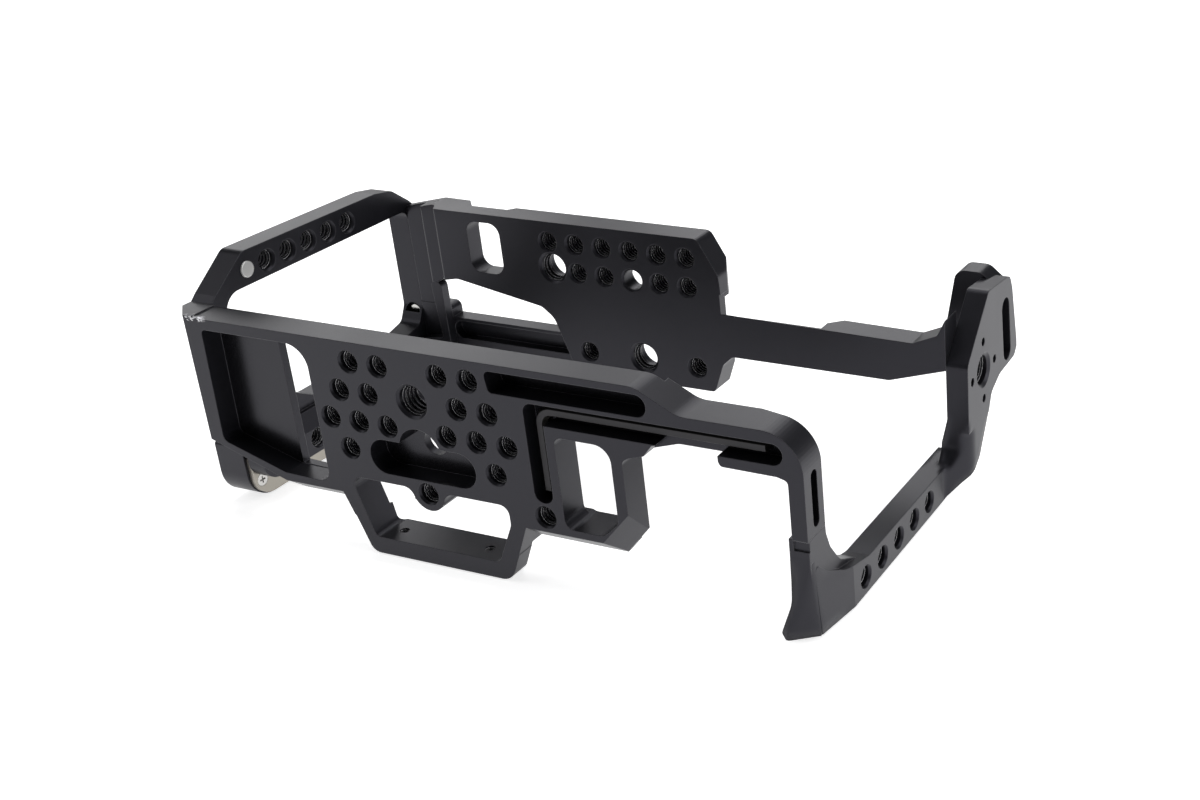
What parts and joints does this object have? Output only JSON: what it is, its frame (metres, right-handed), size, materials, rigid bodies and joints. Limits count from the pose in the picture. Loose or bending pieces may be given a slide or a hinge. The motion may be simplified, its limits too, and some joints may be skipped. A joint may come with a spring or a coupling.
{
  "type": "camera cage",
  "caption": "Box-shaped cage of black machined plates that wraps a camera body, with threaded holes for accessories, strap slots, a stored hex key and a small cable clamp.",
  "frame": {"origin": "centre of the footprint at the lowest point, which is the underside of the lens loop", "axes": "+X towards the camera's hand grip, +Y from the base plate to the top plate, +Z from the lens side to the screen side"},
  "size_m": [0.217, 0.132, 0.0784],
  "materials": {
    "black_anodised": "satin black anodised, bead blasted, machined edges slightly brighter",
    "black_oxide": "dull black oxide with a faint olive tint",
    "stainless": "bright turned stainless steel",
    "nickel": "warm grey nickel plate with fine scratches",
    "magnet": "nickel plated magnet"
  },
  "bodies": {
    "root": {"base_plate": "black_anodised", "top_plate": "black_anodised", "side_frame": "black_anodised", "grip_frame": "black_anodised", "key_magnets": "magnet", "frame_screw": "stainless", "far_pin": "stainless", "side_block": "black_anodised", "wear_plate": "nickel", "wear_plate_screws": "stainless", "block_screws": "black_oxide", "front_rail": "black_anodised", "rail_screws": "black_oxide", "clamp_washer": "stainless", "near_corner_pins": "black_oxide", "far_corner_screws": "black_oxide", "strut_pins": "black_oxide", "arm_pins": "black_oxide"},
    "key": {"hex_key": "black_oxide"},
    "knob": {"clamp_knob": "black_anodised", "clamp_stud": "stainless"},
    "jaw": {"clamp_jaw": "black_anodised"}
  },
  "joints": [
    {"name": "key_slide", "type": "slide", "parent": "root", "child": "key", "axis": [0, -1, 0], "range_m": [0, 0.02]},
    {"name": "knob_turn", "type": "hinge", "parent": "root", "child": "knob", "pos_m": [-0.0915, 0.0332, 0.0206], "axis": [0, 1, 0], "range_deg": [0, 1280]},
    {"name": "jaw_slide", "type": "slide", "parent": "root", "child": "jaw", "axis": [0, -1, 0], "range_m": [0, 0.0025]}
  ],
  "couplings": [
    {"joint": "jaw_slide", "follows": "knob_turn", "m_per_rad": 0.00011141}
  ]
}
